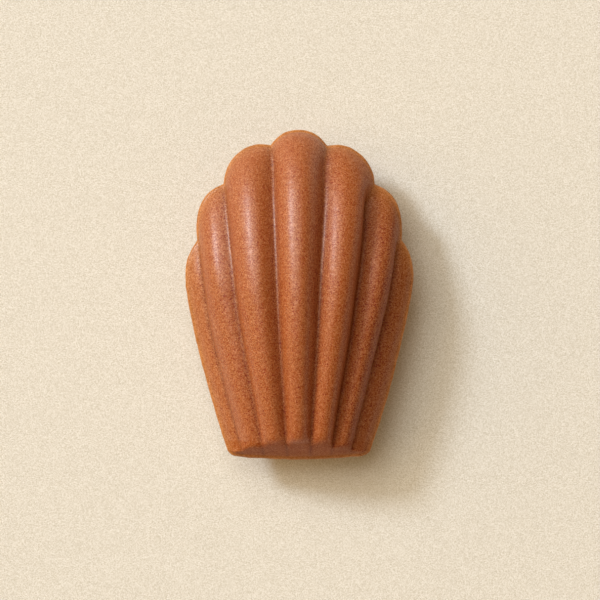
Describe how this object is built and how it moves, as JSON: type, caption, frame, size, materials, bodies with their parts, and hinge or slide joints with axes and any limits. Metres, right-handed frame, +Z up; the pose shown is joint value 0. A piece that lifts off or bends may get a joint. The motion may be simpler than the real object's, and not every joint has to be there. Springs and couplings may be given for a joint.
{
  "type": "madeleine cake",
  "caption": "Sponge cake in the shape of a scallop, lying ribbed side up: fanned rounded ribs, scalloped wide end, flat sloping narrow end, rounded rim and a humped underside it rests on.",
  "frame": {"origin": "middle of the cake's plan, on the surface that it rests on", "axes": "+Z up, from the humped underside to the ribbed shell side; +Y along the cake, towards the wide scalloped end; X across the cake"},
  "size_m": [0.052, 0.075, 0.027],
  "materials": {
    "browned_crust": "satin"
  },
  "bodies": {
    "root": {"madeleine": "browned_crust"}
  },
  "joints": []
}
